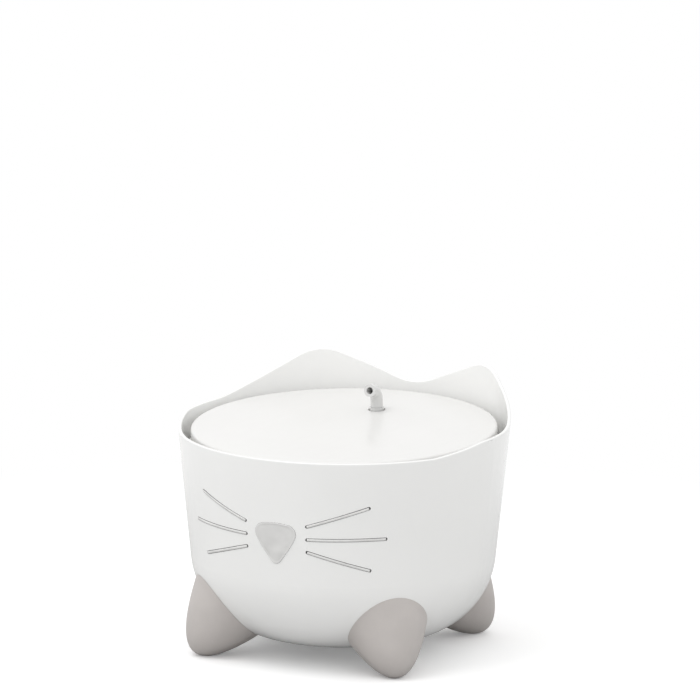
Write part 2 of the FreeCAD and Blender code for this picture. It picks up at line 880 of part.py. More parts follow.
def spout_elbow():
    """Bent tube that turns in the plug and pours towards the face."""
    top, _ = spout_levels()
    start = WATER + UP * (top + swivel_fit)
    low = start - UP * spout_spigot_length
    spigot_radius = spout_tube_radius - spout_spigot_wall

    def pipe(radius, begin, rise):
        ring = Part.Wire(Part.makeCircle(radius, begin, UP))
        return spout_path(begin, rise).makePipeShell([ring], True, False)

    outer = pipe(spout_tube_radius, start, spout_rise)
    spigot = rod(spigot_radius, low, start + UP)
    inner = pipe(spout_bore - spout_spigot_wall, low, spout_rise + spout_spigot_length)
    return outer.fuse(spigot).cut(inner)


# Riser tube

def riser_foot():
    return pump_lift + pump_height + outlet_length - riser_grip


def riser():
    """Clear tube from the pump's outlet up into the tray's socket."""
    foot = riser_foot()
    tube = cylinder(riser_outer(), foot, foot + riser_length, WATER)
    return tube.cut(cylinder(outlet_radius + riser_fit, foot - past, foot + riser_length + past, WATER))


# Filter cartridge

def flange_foot():
    return tray_top - dish_depth + seat_gap


def pocket_outline(shrink, height, side_x, side_y):
    """Outline of one pocket at a height, pulled in on every side."""
    near = filter_rib / 2 + shrink
    far = filter_side / 2 - filter_rim - shrink
    hole_corner = filter_hole_radius + filter_collar + near
    middle = filter_middle()
    corners = [(near, near), (far, near), (far, far), (near, far)]
    radii = [hole_corner, pocket_corner - shrink, pocket_outer_corner - shrink, pocket_corner - shrink]
    if side_x * side_y < 0:
        corners = corners[::-1]
        radii = radii[::-1]
    return rounded([middle + V(side_x * x, side_y * y, height) for x, y in corners], radii)


def pocket(shrink, low, high, side_x, side_y):
    """Drafted pocket between two heights."""
    top_wire = pocket_outline(shrink, high, side_x, side_y)
    foot_wire = pocket_outline(shrink + pocket_draft, low, side_x, side_y)
    return Part.makeLoft([foot_wire, top_wire], True, True)


def quarters(side_x=(-1, 1)):
    return [(x, y) for x in side_x for y in (-1, 1)]


def filter_tub():
    """Thin moulded flange with four hanging pockets and a centre collar."""
    foot = flange_foot()
    top = foot + flange_thickness
    half = V(filter_side / 2, filter_side / 2, 0)
    middle = filter_middle()
    flange = rounded_box(middle - half + UP * foot, middle + half + UP * top, filter_corner)
    pockets = [pocket(0, foot - pocket_depth, foot + flange_thickness / 2, x, y) for x, y in quarters()]
    collar = cylinder(filter_hole_radius + filter_collar, foot - filter_collar_depth, top, middle)
    tub = flange.fuse(pockets + [collar])
    floor = foot - pocket_depth + pocket_wall
    hollows = [pocket(pocket_wall, floor, top + past, x, y) for x, y in quarters()]
    return tub.cut(hollows + [cylinder(filter_hole_radius, foot - pocket_depth, top + past, middle)])


def granules(side_x):
    """Filter grains of one half, two pockets full."""
    floor = flange_foot() - pocket_depth + pocket_wall
    top = flange_foot() + flange_thickness
    level = cylinder(rim_radius, floor + fill_gap, top - fill_gap)
    return [pocket(pocket_wall + fill_gap, floor, top + past, side_x, y).common(level) for y in (-1, 1)]


def filter_film():
    """Thin fleece sealed over the pockets."""
    low = flange_foot() + flange_thickness
    half = V(filter_side / 2 - film_margin, filter_side / 2 - film_margin, 0)
    middle = filter_middle()
    sheet = rounded_box(middle - half + UP * low, middle + half + UP * (low + film_thickness),
                        filter_corner - film_margin)
    return sheet.cut(cylinder(filter_hole_radius, low - past, low + 2 * past, middle))


# Pump, built in its own frame with the outlet on the upright axis

PUMP_LOW = V(pump_outlet_in - pump_length, -pump_outlet_front, 0)
PUMP_HIGH = V(pump_outlet_in, pump_depth - pump_outlet_front, pump_height)
LAMP_FACE = PUMP_LOW.x
MAGNET_REAR = chamber_rear - magnet_gap - magnet_length
WELL_REAR = MAGNET_REAR - magnet_gap


def in_bowl(shape):
    """Pump piece turned and set down at its place in the bowl."""
    return turned(shape, pump_yaw).translated(WATER + UP * pump_lift)


def along_rotor(radius, start, end):
    """Cylinder about the rotor's axis between two places along the pump."""
    return rod(radius, V(start, rotor_y, rotor_z), V(end, rotor_y, rotor_z))


def pump_housing():
    """Housing open below, with the wet chamber, the rotor's well and the outlet pipe."""
    low = PUMP_LOW + UP * pump_base_plate
    shell = rounded_box(low, PUMP_HIGH, pump_corner)
    shell = shell.makeFillet(pump_edge, outlined(shell, pump_height - past, pump_height + past))
    wall = V(pump_wall, pump_wall, 0)
    room = rounded_box(low + wall - UP, PUMP_HIGH - wall - UP * pump_wall, pump_corner - pump_wall / 2)
    shell = shell.cut(room)
    well_radius = magnet_radius + magnet_gap
    wet = [
        along_rotor(well_radius + chamber_wall, WELL_REAR - bush_length - chamber_wall, chamber_rear),
        along_rotor(intake_radius + chamber_wall, chamber_rear - chamber_wall, PUMP_HIGH.x),
        rod(outlet_bore + chamber_wall, V(0, 0, rotor_z), V(0, 0, pump_height)),
    ]
    inner = rounded_box(low, PUMP_HIGH - UP * (pump_wall / 2), pump_corner)
    shell = shell.fuse([piece.common(inner) for piece in wet])
    pipe = rod(outlet_radius, V(0, 0, pump_height - past), V(0, 0, pump_height + outlet_length))
    lamp_face = V(LAMP_FACE, 0, 0)
    lamp_at = lamp_face + V(0, lamp_y, lamp_z)
    out = V(-1, 0, 0)
    ring = rod(lamp_ring_radius, lamp_at - out * past, lamp_at + out * lamp_ring_proud)
    shell = shell.fuse([pipe, ring])
    knob_at = lamp_face + V(0, knob_y, knob_z)
    return shell.cut([
        along_rotor(intake_radius + intake_fit, PUMP_HIGH.x - intake_disc, PUMP_HIGH.x + past),
        along_rotor(chamber_radius, chamber_rear, PUMP_HIGH.x + past),
        along_rotor(well_radius, WELL_REAR, chamber_rear + past),
        along_rotor(bush_radius, WELL_REAR - bush_length, WELL_REAR + past),
        rod(outlet_bore, V(0, 0, rotor_z), V(0, 0, pump_height + outlet_length + past)),
        rod(lamp_radius + shaft_fit, lamp_at - out * lamp_seat, lamp_at + out * lamp_proud),
        rod(knob_pin_radius + shaft_fit, knob_at - out * (knob_pin_length + seat_gap), knob_at + out * past),
    ])


def pump_base():
    """Plate that closes the dry side of the pump, a little smaller than the housing."""
    inset = V(pump_base_inset, pump_base_inset, 0)
    high = V(PUMP_HIGH.x, PUMP_HIGH.y, pump_base_plate)
    return rounded_box(PUMP_LOW + inset, high - inset, pump_corner - pump_base_inset / 2)


def intake_cover():
    """Round grille that closes the chamber and carries the shaft's front bush."""
    end = PUMP_HIGH.x
    disc = along_rotor(intake_radius, end - intake_disc, end)
    plug = along_rotor(chamber_radius - intake_fit, chamber_front, end - intake_disc)
    inner = chamber_radius - intake_fit - chamber_wall
    hollow = along_rotor(inner, chamber_front - past, end - intake_disc / 2)
    hub = along_rotor(bush_radius + chamber_wall / 2, chamber_front, end - intake_disc / 2)
    slots = []
    spacing = 2 * (chamber_radius - chamber_wall) / intake_slots
    for index in range(intake_slots):
        y = rotor_y + (index - (intake_slots - 1) / 2) * spacing
        span = math.sqrt(max((chamber_radius - 2 * chamber_wall) ** 2 - (y - rotor_y) ** 2, 4))
        slots.append(block(V(end - intake_disc, y - intake_slot_width / 2, rotor_z - span),
                           V(end + past, y + intake_slot_width / 2, rotor_z + span)))
    bush = along_rotor(bush_radius, chamber_front - past, chamber_front + bush_length)
    grille = disc.cut(slots).fuse(plug.cut(hollow)).fuse(hub)
    return grille.cut(bush)


def impeller():
    """Rotor with its magnet sleeve, a back disc and straight blades, bored for the shaft."""
    back = chamber_rear + blade_gap
    front = chamber_front - blade_gap
    sleeve = along_rotor(magnet_radius, MAGNET_REAR, chamber_rear - magnet_gap)
    neck = along_rotor(hub_radius, chamber_rear - magnet_gap - past, front)
    disc = along_rotor(blade_radius, back, back + blade_thickness)
    blades = []
    for index in range(blade_count):
        blade = block(V(back, rotor_y - blade_thickness / 2, rotor_z),
                      V(front, rotor_y + blade_thickness / 2, rotor_z + blade_radius))
        blades.append(turned(blade, index * 360 / blade_count, V(0, rotor_y, rotor_z), V(1, 0, 0)))
    wheel = sleeve.fuse([neck, disc] + blades)
    wheel = wheel.common(along_rotor(blade_radius, MAGNET_REAR - past, front + past))
    return wheel.cut(along_rotor(shaft_radius + shaft_fit, MAGNET_REAR - past, front + past))


def impeller_shaft():
    """Ceramic shaft held at both ends."""
    return along_rotor(shaft_radius, WELL_REAR - bush_length / 2, chamber_front + bush_length / 2)


def shaft_bushes():
    """Rubber bushes at the two ends of the shaft."""
    bore = along_rotor(shaft_radius, WELL_REAR - bush_length / 2, chamber_front + bush_length / 2)
    ends = [(WELL_REAR - bush_length, WELL_REAR), (chamber_front, chamber_front + bush_length)]
    return [along_rotor(bush_radius, start, end).cut(bore) for start, end in ends]


def core_reach():
    """Middle of each core leg from the rotor's axis, so that the windings clear the well."""
    return magnet_radius + magnet_gap + chamber_wall + coil_gap + coil_wall + core_bar / 2


def stator_core():
    """Laminated U whose legs pass the rotor's well on both sides."""
    half = core_bar / 2
    rear = LAMP_FACE + pump_wall + core_gap
    front = chamber_rear - chamber_wall - core_gap
    low_z = rotor_z - core_height / 2
    reach = core_reach()
    legs = [block(V(rear, rotor_y + side * reach - half, low_z),
                  V(front, rotor_y + side * reach + half, low_z + core_height)) for side in (-1, 1)]
    yoke = block(V(rear, rotor_y - reach, low_z), V(rear + core_bar, rotor_y + reach, low_z + core_height))
    return yoke.fuse(legs)


def stator_coils():
    """One winding on each leg of the core."""
    front = chamber_rear - chamber_wall - 2 * core_gap
    coils = []
    for side in (-1, 1):
        middle = rotor_y + side * core_reach()
        reach = core_bar / 2 + coil_wall
        tall = core_height / 2 + coil_wall
        outer = block(V(front - coil_length, middle - reach, rotor_z - tall),
                      V(front, middle + reach, rotor_z + tall))
        gap = core_bar / 2 + fill_gap
        inner = block(V(front - coil_length - past, middle - gap, rotor_z - core_height / 2 - fill_gap),
                      V(front + past, middle + gap, rotor_z + core_height / 2 + fill_gap))
        coils.append(outer.cut(inner))
    return coils


def flow_knob():
    """Knob on a neck that sets the flow, with finger notches round its disc."""
    face = V(LAMP_FACE, knob_y, knob_z)
    out = V(-1, 0, 0)
    neck = rod(knob_neck_radius, face + out * seat_gap, face + out * knob_neck_length)
    disc = rod(knob_radius, face + out * knob_neck_length, face + out * (knob_neck_length + knob_disc))
    disc = disc.makeFillet(knob_disc / 6, disc.Edges[:1] + disc.Edges[2:])
    pin = rod(knob_pin_radius, face - out * knob_pin_length, face + out * (seat_gap + past))
    notches = []
    for index in range(knob_notches):
        turn = 2 * math.pi * index / knob_notches
        at = face + V(0, math.cos(turn), math.sin(turn)) * (knob_radius + knob_disc / 8)
        foot = at + out * (knob_neck_length - past)
        notches.append(rod(knob_disc / 5, foot, foot + out * (knob_disc + 2 * past)))
    return neck.fuse([disc, pin]).cut(notches)


def lamp_lens():
    """Small domed lens of the red lamp."""
    face = V(LAMP_FACE, lamp_y, lamp_z)
    out = V(-1, 0, 0)
    stem = rod(lamp_radius, face - out * lamp_seat, face + out * (lamp_proud - lamp_radius / 2))
    dome = Part.makeSphere(lamp_radius, face + out * (lamp_proud - lamp_radius))
    half = rod(lamp_radius + past, face - out * lamp_seat, face + out * (lamp_proud + past))
    return stem.fuse(dome.common(half))


def lead_clamp():
    """Block on the lamp face that grips the upper end of the lead loop."""
    half = clamp_size / 2
    low = V(LAMP_FACE - clamp_proud, clamp_y - half, clamp_z - half)
    body = block(low, V(LAMP_FACE, clamp_y + half, clamp_z + half))
    outer = [edge for edge in body.Edges if edge.BoundBox.XMax < LAMP_FACE - clamp_proud + touch]
    return body.makeFillet(clamp_proud / 4, outer)


def lead_gland():
    """Small cone where the lower end of the lead loop enters the pump."""
    foot = V(LAMP_FACE, gland_y, gland_z)
    return Part.makeCone(gland_radius, gland_tip_radius, gland_proud, foot, V(-1, 0, 0))


def lead_route():
    """Ends of the loop on the clamp and the gland with the chosen points between them."""
    start = V(LAMP_FACE - clamp_proud, clamp_y, clamp_z)
    end = V(LAMP_FACE - gland_proud, gland_y, gland_z)
    return [start] + [V(*point) for point in lead_points] + [end]


def lead_loop():
    """Thin lead along straight runs joined by tangent arcs."""
    route = lead_route()
    edges = []
    here = route[0]
    radii = []
    for before, corner, after in zip(route, route[1:], route[2:]):
        back = before - corner
        ahead = after - corner
        shorter = min(back.Length, ahead.Length)
        back.normalize()
        ahead.normalize()
        turn = math.pi - back.getAngle(ahead)
        cut = 0.45 * shorter
        radius = cut / math.tan(turn / 2)
        radii.append(round(radius, 1))
        middle = corner + (back + ahead).normalize() * (radius / math.cos(turn / 2) - radius)
        edges.append(Part.makeLine(here, corner + back * cut))
        edges.append(Part.Arc(corner + back * cut, middle, corner + ahead * cut).toShape())
        here = corner + ahead * cut
    edges.append(Part.makeLine(here, route[-1]))
    path = Part.Wire(edges)
    ring = Part.Wire(Part.makeCircle(lead_radius, route[0], route[1] - route[0]))
    tube = path.makePipeShell([ring], True, False)
    share = tube.Volume / (math.pi * lead_radius ** 2 * path.Length)
    print("lead loop: length", round(path.Length, 1), "bend radii", radii, "filled share", round(share, 3))
    return tube


def power_gland():
    """Half-round ridge on top of the pump that the power lead leaves by."""
    low = V(LAMP_FACE + past, power_gland_y, pump_height)
    ridge = block(low, low + V(power_gland_length, power_gland_width, power_gland_height))
    long_edges = [edge for edge in ridge.Edges
                  if edge.BoundBox.ZMin > pump_height + power_gland_height - touch
                  and edge.BoundBox.XLength > power_gland_length / 2]
    ridge = ridge.makeFillet(power_gland_round, long_edges)
    middle = low + V(power_gland_length, power_gland_width / 2, power_gland_height / 2)
    hole = rod(power_gland_bore / 2, middle - V(power_gland_hole, 0, 0), middle + V(past, 0, 0))
    return ridge.cut(hole)


# The nodes

save("bowl", bowl())
for corner_name, paw_azimuth in paw_azimuths.items():
    save("paw_" + corner_name, paw(paw_azimuth))
save("paw_screws", *[paw_screw(azimuth) for azimuth in paw_azimuths.values()])
save("nose_window", window(nose_outline))
save("whisker_windows", *[window(outline) for outline in whiskers()])

save("filter_tray", tray())
save("outlet_cap", cap())
save("lift_ring", lift_ring())

save("lid", lid())
save("spout_plug", spout_plug())
save("spout_seal", spout_seal())
save("spout_elbow", spout_elbow())

save("filter_tub", filter_tub())
save("carbon_grains", *granules(-1))
save("resin_grains", *granules(1))
save("filter_film", filter_film())

save("riser_tube", riser())

save("pump_housing", in_bowl(pump_housing()))
save("pump_base", in_bowl(pump_base()))
save("intake_cover", in_bowl(intake_cover()))
save("impeller", in_bowl(impeller()))
save("impeller_shaft", in_bowl(impeller_shaft()))
save("shaft_bushes", *[in_bowl(bush) for bush in shaft_bushes()])
save("stator_core", in_bowl(stator_core()))
save("stator_coils", *[in_bowl(coil) for coil in stator_coils()])
save("flow_knob", in_bowl(flow_knob()))
save("lamp_lens", in_bowl(lamp_lens()))
save("lead_clamp", in_bowl(lead_clamp()))
save("lead_gland", in_bowl(lead_gland()))
save("power_gland", in_bowl(power_gland()))
save("lead_loop", in_bowl(lead_loop()))
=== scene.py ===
# %% [markdown]
# # A pet water fountain, finished piece by piece
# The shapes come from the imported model. This lesson gives each piece its finish, and
# makes by rule what repeats or needs a finer skin: the filter's grains, the whiskers and
# the nose.
# Lengths are in metres, the floor is at height 0, and the face looks along -Y.

# %% Load the frame
import json
import math

import bmesh
import bpy
from mathutils import Matrix, Quaternion, Vector
from mathutils.geometry import convex_hull_2d


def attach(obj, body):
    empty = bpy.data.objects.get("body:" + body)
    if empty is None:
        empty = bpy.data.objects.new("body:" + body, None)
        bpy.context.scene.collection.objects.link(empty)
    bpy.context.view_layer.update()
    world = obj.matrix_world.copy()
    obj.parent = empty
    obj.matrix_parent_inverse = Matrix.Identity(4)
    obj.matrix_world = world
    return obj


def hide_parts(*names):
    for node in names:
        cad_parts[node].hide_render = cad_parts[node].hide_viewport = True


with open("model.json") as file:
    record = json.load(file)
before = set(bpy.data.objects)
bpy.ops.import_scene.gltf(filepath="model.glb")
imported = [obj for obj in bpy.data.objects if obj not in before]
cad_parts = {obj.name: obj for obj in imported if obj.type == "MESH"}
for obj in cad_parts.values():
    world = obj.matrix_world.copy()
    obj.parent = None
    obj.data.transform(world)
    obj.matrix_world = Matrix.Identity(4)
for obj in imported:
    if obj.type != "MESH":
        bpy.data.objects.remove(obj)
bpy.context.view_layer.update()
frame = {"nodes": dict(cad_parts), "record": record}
nodes = frame["nodes"]
MM = 0.001

# %% [markdown]
# ## The camera
# The photograph was taken from far away with a long lens, a little to the right of the
# face and a little above it. A long lens keeps upright edges nearly parallel, so the
# distance and the lens are set together: either alone would change the round rims' depth.

# %% Camera
VIEW_AZIMUTH = 25.26        # degrees to the right of the face
VIEW_ELEVATION = 11.84
VIEW_DISTANCE = 6.5156
VIEW_LENS = 468.1
AIM_HEIGHT = 0.2169
SIDE_STEP = 0.00392
ROLL = 0.35


def toward(azimuth, elevation):
    """Unit vector from the object to a place round it."""
    turn, lift = math.radians(azimuth), math.radians(elevation)
    return Vector((math.sin(turn) * math.cos(lift), -math.cos(turn) * math.cos(lift), math.sin(lift)))


across = Vector((math.cos(math.radians(VIEW_AZIMUTH)), math.sin(math.radians(VIEW_AZIMUTH)), 0))
aim = Vector((0, 0, AIM_HEIGHT)) + across * SIDE_STEP
camera = bpy.data.objects.new("camera", bpy.data.cameras.new("camera"))
camera.data.lens = VIEW_LENS
camera.data.clip_end = 50
camera.location = aim + toward(VIEW_AZIMUTH, VIEW_ELEVATION) * VIEW_DISTANCE
look = (aim - camera.location).to_track_quat("-Z", "Y")
camera.rotation_euler = (look @ Quaternion((0, 0, 1), math.radians(ROLL))).to_euler()
bpy.context.scene.collection.objects.link(camera)
bpy.context.scene.camera = camera
print("camera at", [round(v, 3) for v in camera.location])

# %% [markdown]
# ## The lead loop on the pump
# A thin lead leaves the block on the pump's small face and bends back into the gland
# below it. It is one smooth NURBS line through a few points, with a round bevel.

# %% Lead loop
PUMP_TURN = math.radians(43)
PUMP_PLACE = Vector((0, 55, 24))
LEAD_DIAMETER = 0.0012
LEAD_POINTS = [
    (-39.0, 16.0, 24.7), (-43.4, 16.2, 24.9), (-48.8, 17.6, 24.2), (-53.6, 19.6, 21.6),
    (-53.4, 19.8, 17.2), (-48.0, 17.6, 14.2), (-42.2, 14.6, 12.0), (-37.6, 14.0, 11.5),
]


def in_bowl(point):
    """Place in the bowl, in metres, of a point given in the pump's own millimetres."""
    return (Matrix.Rotation(PUMP_TURN, 3, "Z") @ Vector(point) + PUMP_PLACE) * MM


def nurbs(name, points, diameter):
    """Smooth round line with these control points.

    The thickness is each point's radius, because a curve's box counts that radius."""
    curve = bpy.data.curves.new(name, "CURVE")
    curve.dimensions = "3D"
    curve.bevel_depth = 1.0
    curve.bevel_resolution = 4
    curve.resolution_u = 12
    curve.use_fill_caps = True
    spline = curve.splines.new("NURBS")
    spline.points.add(len(points) - 1)
    for spot, point in zip(spline.points, points):
        spot.co = (*point, 1)
        spot.radius = diameter / 2
    spline.order_u = 3
    spline.use_endpoint_u = True
    made = bpy.data.objects.new(name, curve)
    bpy.context.scene.collection.objects.link(made)
    return made


lead = nurbs("lead", [in_bowl(point) for point in LEAD_POINTS], LEAD_DIAMETER)
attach(lead, "pump")
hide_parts("lead_loop")

# %% [markdown]
# ## A short way to write shader maths
# A finish is a small sum of patterns: a broad cloud for the tone, a finer one for the
# gloss, a very fine one for the grain. Wired by hand, each sum takes many nodes. A class
# that stands for a socket lets the sum be written as it would be on paper.

# %% Sockets that can be added and multiplied
class Signal:
    """A node's output that can be used in a sum."""

    def __init__(self, board, socket):
        self.board = board
        self.socket = socket

    def __add__(self, other):
        return self.board.maths("ADD", self, other)

    def __radd__(self, other):
        return self.board.maths("ADD", other, self)

    def __sub__(self, other):
        return self.board.maths("SUBTRACT", self, other)

    def __rsub__(self, other):
        return self.board.maths("SUBTRACT", other, self)

    def __mul__(self, other):
        return self.board.maths("MULTIPLY", self, other)

    def __rmul__(self, other):
        return self.board.maths("MULTIPLY", other, self)


class Board:
    """The node tree of one finish."""

    def __init__(self, name):
        self.material = bpy.data.materials.new(name)
        self.material.use_nodes = True
        self.tree = self.material.node_tree
        self.shader = self.tree.nodes["Principled BSDF"]
        self.output = self.tree.nodes["Material Output"]

    def put(self, socket, value):
        """Link a signal to a socket, or set the socket to a plain value."""
        if isinstance(value, Signal):
            self.tree.links.new(value.socket, socket)
        else:
            socket.default_value = value

    def node(self, kind, settings=None, sockets=None, output=0):
        """Add a node: its settings first, then the values or links of its sockets."""
        made = self.tree.nodes.new(kind)
        for name, value in (settings or {}).items():
            setattr(made, name, value)
        for name, value in (sockets or {}).items():
            self.put(made.inputs[name], value)
        return Signal(self, made.outputs[output])

    def maths(self, operation, first, second):
        return self.node("ShaderNodeMath", {"operation": operation}, {0: first, 1: second})

    def set(self, **values):
        """Set or link sockets of the shader, named with _ for a space."""
        for name, value in values.items():
            self.put(self.shader.inputs[name.replace("_", " ")], value)


print("shader maths ready")

# %% [markdown]
# ## Patterns that every moulding shares
# Coordinates are the object's own, so a pattern stays on a piece when the piece lifts out.
# Noise gives clouds and grain, and a smooth step turns a cloud into patches.

# %% Patterns
def spots(board, size, detail=2.0, roughness=0.5, stretch=(1, 1, 1)):
    """Cloudy pattern from 0 to 1 whose blobs are about size metres across."""
    coords = board.node("ShaderNodeTexCoord", output=3)
    placed = board.node("ShaderNodeMapping", {"vector_type": "POINT"}, {"Vector": coords, "Scale": stretch})
    return board.node("ShaderNodeTexNoise", {"noise_dimensions": "3D"},
                      {"Vector": placed, "Scale": 1 / size, "Detail": detail, "Roughness": roughness})


def step(board, signal, low, high):
    """Smooth step of a signal from 0 at low to 1 at high."""
    return board.node("ShaderNodeMapRange", {"interpolation_type": "SMOOTHSTEP"},
                      {"Value": signal, "From Min": low, "From Max": high})


def blend(board, factor, first, second):
    """Colour that goes from the first to the second."""
    return board.node("ShaderNodeMix", {"data_type": "RGBA"}, {0: factor, 6: first, 7: second}, output=2)


def bumped(board, height, depth):
    """Normal from a height pattern that is depth metres deep."""
    return board.node("ShaderNodeBump", {}, {"Height": height, "Distance": depth, "Strength": 1.0})


def height_of(board):
    """Height above the floor at rest, in metres."""
    coords = board.node("ShaderNodeTexCoord", output=3)
    return board.node("ShaderNodeSeparateXYZ", {}, {0: coords}, output=2)


def shade(colour, factor):
    return tuple(min(1.0, channel * factor) for channel in colour) + (1.0,)


print("patterns ready")

# %% [markdown]
# ## Glossy white mouldings
# The bowl, tray, lid and cap are one family: bright plastic from a polished mould. The
# real gloss is never quite even. Flow in the mould leaves broad soft waves, wiping leaves
# faint streaks, and the tone drifts a little between thick and thin places.

# %% Glossy mouldings
def glossy(name, colour, roughness=0.22, coat=0.35, wave=0.00003, streaks=(1, 1, 0.25), tint=0.012):
    """Polished moulding with soft waves, wiped streaks and a slow drift of tone."""
    board = Board(name)
    drift = spots(board, 0.085, 2.0)
    cloud = spots(board, 0.021, 3.0)
    wiped = step(board, spots(board, 0.0065, 4.0, 0.6, streaks), 0.42, 0.72)
    ripple = spots(board, 0.034, 1.0)
    specks = step(board, spots(board, 0.00135, 1.0), 0.70, 0.78)
    tone = blend(board, step(board, drift, 0.32, 0.68),
                 shade(colour, 1 - tint), shade(colour, 1 + tint * 0.6))
    tone = blend(board, specks * 0.04, tone, shade(colour, 0.80))
    board.set(
        Base_Color=tone,
        Roughness=roughness + 0.03 * cloud + 0.02 * wiped,
        Coat_Weight=coat - 0.04 * wiped,
        Normal=bumped(board, ripple + 0.04 * spots(board, 0.0011, 2.0), wave),
    )
    board.shader.inputs["Coat Roughness"].default_value = 0.06
    board.shader.inputs["IOR"].default_value = 1.49
    return board.material


finishes = {
    "bowl_shell": glossy("bowl_shell_gloss", (0.945, 0.945, 0.932)),
    "tray_shell": glossy("tray_shell_gloss", (0.925, 0.92, 0.905), roughness=0.28, coat=0.25,
                         streaks=(1, 0.3, 1)),
    "lid_shell": glossy("lid_shell_gloss", (0.80, 0.795, 0.78), roughness=0.30, coat=0.22,
                        streaks=(1, 0.3, 1)),
    "spout_plastic": glossy("spout_smoky_white", (0.72, 0.72, 0.71), roughness=0.24, wave=0.00002,
                            tint=0.04),
}
print("glossy finishes:", sorted(finishes))

# %% [markdown]
# ## Satin mouldings
# The paws and the pump have a fine spark-eroded texture that spreads every highlight.
# Their colour is darkened low down with painted shade, where a paw meets the floor.

# %% Satin mouldings
def satin(name, colour, grain=0.00055, depth=0.00006, roughness=0.46, painted_floor_shade=0.0):
    """Fine-grained moulding, with painted shade darkening it towards the floor."""
    board = Board(name)
    fine = spots(board, grain, 2.0, 0.6)
    drift = step(board, spots(board, 0.030, 3.0), 0.35, 0.65)
    scuffs = step(board, spots(board, 0.0042, 5.0, 0.65, (1, 1, 0.4)), 0.60, 0.74)
    # painted shade near the floor: this mask is 1 at the floor and 0 from 22 mm up, and the colour darkens by
    # it
    low = 1 - step(board, height_of(board), 0.0, 0.022)
    tone = blend(board, drift, shade(colour, 0.965), shade(colour, 1.025))
    tone = blend(board, scuffs * 0.16, tone, shade(colour, 1.22))
    tone = blend(board, low * painted_floor_shade, tone, shade(colour, 0.80))
    tone = blend(board, step(board, fine, 0.35, 0.75) * 0.12, tone, shade(colour, 0.86))
    board.set(
        Base_Color=tone,
        Roughness=roughness + 0.10 * fine + 0.06 * scuffs,
        Normal=bumped(board, fine + 0.4 * scuffs, depth),
    )
    board.shader.inputs["IOR"].default_value = 1.47
    return board.material


finishes.update({
    # the paws' colour is darkened near the floor with painted shade
    "paw": satin("paw_taupe_satin_floor_shade", (0.56, 0.525, 0.503), roughness=0.36, painted_floor_shade=0.35),
    "pump_plastic": satin("pump_grey_satin", (0.79, 0.78, 0.775), grain=0.00042, depth=0.00004),
    "rotor_plastic": satin("rotor_dark_satin", (0.02, 0.02, 0.022)),
})
print("satin finishes ready")

# %% [markdown]
# ## Clear pieces
# The nose and whiskers are smoky clear inserts, so the water shows behind them. Their edges are painted
# darker than the middle: painted shade where an insert dips under the wall. The edge is found from the
# piece's own attribute, written where the piece is made.

# %% Clear inserts
def clear(name, colour, edge_shade, roughness=0.10):
    """Smoky clear moulding with painted shade darkening its edge, by the edge shade attribute."""
    board = Board(name)
    edge_shade_mask = board.node("ShaderNodeAttribute", {"attribute_name": "edge_shade"}, output=2)
    cloud = spots(board, 0.009, 3.0)
    pits = spots(board, 0.0016, 3.0, 0.6)
    drift = step(board, spots(board, 0.016, 2.0), 0.3, 0.7)
    tone = blend(board, drift, shade(colour, 0.90), shade(colour, 1.06))
    # painted shade: the colour darkens to the edge colour where the insert dips under the wall
    tone = blend(board, step(board, edge_shade_mask, 0.30, 0.85), tone, (*edge_shade, 1.0))
    board.set(
        Base_Color=tone,
        Roughness=roughness + 0.10 * cloud,
        Alpha=0.90 + 0.10 * edge_shade_mask,
        Normal=bumped(board, cloud + 0.2 * pits, 0.00012),
    )
    board.shader.inputs["Coat Weight"].default_value = 0.5
    board.shader.inputs["Coat Roughness"].default_value = 0.04
    return board.material


# the second colour is the painted shade along the inserts' edges
finishes["clear_window"] = clear("window_smoky_clear_edge_shade", (0.86, 0.855, 0.84), (0.13, 0.13, 0.135))

# %% Cartridge, film and riser
def milky(name, colour, alpha, patch, roughness=0.30, depth=0.00008):
    """Thin translucent moulding whose cover varies in patches."""
    board = Board(name)
    cloud = spots(board, 0.007, 3.0)
    fine = spots(board, 0.0011, 2.0)
    tone = blend(board, cloud, shade(colour, 0.93), shade(colour, 1.05))
    board.set(
        Base_Color=tone,
        Roughness=roughness + 0.12 * fine,
        Alpha=alpha + patch * (cloud - 0.5),
        Normal=bumped(board, cloud + 0.3 * fine, depth),
    )
    board.shader.inputs["IOR"].default_value = 1.45
    return board.material


def perforated(name, colour, alpha, pitch=0.0021):
    """Heat-sealed film with a field of small holes, painted darker as shade, and soft wrinkles."""
    board = Board(name)
    coords = board.node("ShaderNodeTexCoord", output=3)
    flat = board.node("ShaderNodeMapping", {"vector_type": "POINT"}, {"Vector": coords, "Scale": (1, 1, 0)})
    cells = board.node("ShaderNodeTexVoronoi", {"voronoi_dimensions": "2D", "feature": "F1"},
                       {"Vector": flat, "Scale": 1 / pitch, "Randomness": 0.25})
    hole_and_shade = 1 - step(board, cells, 0.10, 0.22)
    wrinkle = spots(board, 0.012, 3.0)
    tone = blend(board, wrinkle, shade(colour, 0.92), shade(colour, 1.04))
    # painted shade: the holes are darkened, as the shade seen through them
    tone = blend(board, hole_and_shade * 0.6, tone, shade(colour, 0.62))
    board.set(
        Base_Color=tone,
        Roughness=0.34 + 0.10 * wrinkle,
        Alpha=alpha + 0.12 * wrinkle - 0.30 * hole_and_shade,
        Normal=bumped(board, wrinkle - 0.4 * hole_and_shade, 0.0003),
    )
    return board.material


finishes["cartridge"] = milky("cartridge_clear", (0.90, 0.93, 0.92), 0.36, 0.16)
finishes["cover_film"] = perforated("cover_film_perforated_hole_shade", (0.99, 0.99, 0.985), 0.86)
finishes["riser_plastic"] = milky("riser_milky", (0.99, 0.97, 0.94), 0.96, 0.06)
print("clear finishes ready")

# %% [markdown]
# ## Metal, rubber, ceramic and the lamp
# These are small and mostly inside. Each still has the mark of how it was made: turned
# rings on steel, stamped layers in the core, wound wire on the coils, a hot spot in the lamp.

